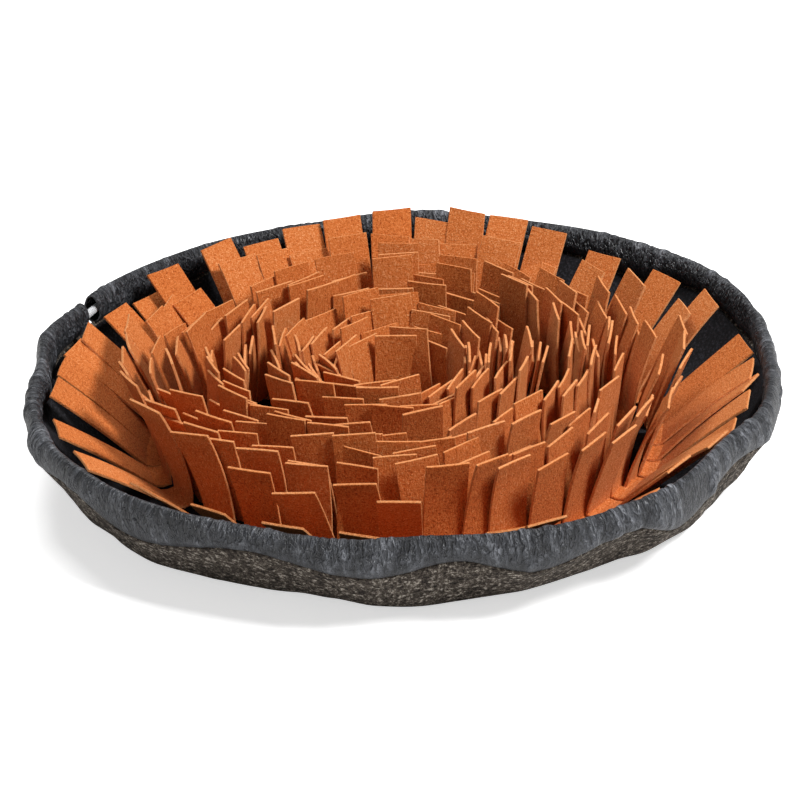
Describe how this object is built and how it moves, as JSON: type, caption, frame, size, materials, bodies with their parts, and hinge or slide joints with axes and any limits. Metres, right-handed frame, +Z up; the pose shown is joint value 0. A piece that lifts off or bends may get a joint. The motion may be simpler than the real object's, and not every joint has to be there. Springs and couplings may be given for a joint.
{
  "type": "snuffle bowl",
  "caption": "Shallow round cloth bowl with a gathered drawstring rim, filled with rings of standing felt strips in which treats are hidden.",
  "frame": {"origin": "centre of the flat underside, on the surface that the bowl rests on", "axes": "+Z up out of the bowl; seen from -Y, which is its front, the gap in the casing is at the back left, at 151 degrees from +X"},
  "size_m": [0.446, 0.4508, 0.0684],
  "materials": {
    "marled_cloth": "marled grey-brown felted cloth",
    "dark_cloth": "near-black woven cloth",
    "nylon": "slate-grey nylon with a slight sheen, finely gathered",
    "cord": "light grey braided cord",
    "felt": "burnt-orange pressed felt"
  },
  "bodies": {
    "root": {"shell_cloth": "marled_cloth", "lining_cloth": "dark_cloth", "rim_casing": "nylon", "drawstring": "cord", "felt_circle_1_arc_1": "felt", "felt_circle_1_arc_2": "felt", "felt_circle_2_arc_1": "felt", "felt_circle_2_arc_2": "felt", "felt_circle_2_arc_3": "felt", "felt_circle_2_arc_4": "felt", "felt_circle_3_arc_1": "felt", "felt_circle_3_arc_2": "felt", "felt_circle_3_arc_3": "felt", "felt_circle_3_arc_4": "felt", "felt_circle_3_arc_5": "felt", "felt_circle_3_arc_6": "felt", "felt_circle_3_arc_7": "felt", "felt_circle_4_arc_1": "felt", "felt_circle_4_arc_2": "felt", "felt_circle_4_arc_3": "felt", "felt_circle_4_arc_4": "felt", "felt_circle_4_arc_5": "felt", "felt_circle_4_arc_6": "felt", "felt_circle_4_arc_7": "felt", "felt_circle_4_arc_8": "felt", "felt_circle_5_arc_1": "felt", "felt_circle_5_arc_2": "felt", "felt_circle_5_arc_3": "felt", "felt_circle_5_arc_4": "felt", "felt_circle_5_arc_5": "felt", "felt_circle_5_arc_6": "felt", "felt_circle_5_arc_7": "felt", "felt_circle_5_arc_8": "felt", "felt_circle_5_arc_9": "felt", "felt_circle_5_arc_10": "felt"}
  },
  "joints": []
}
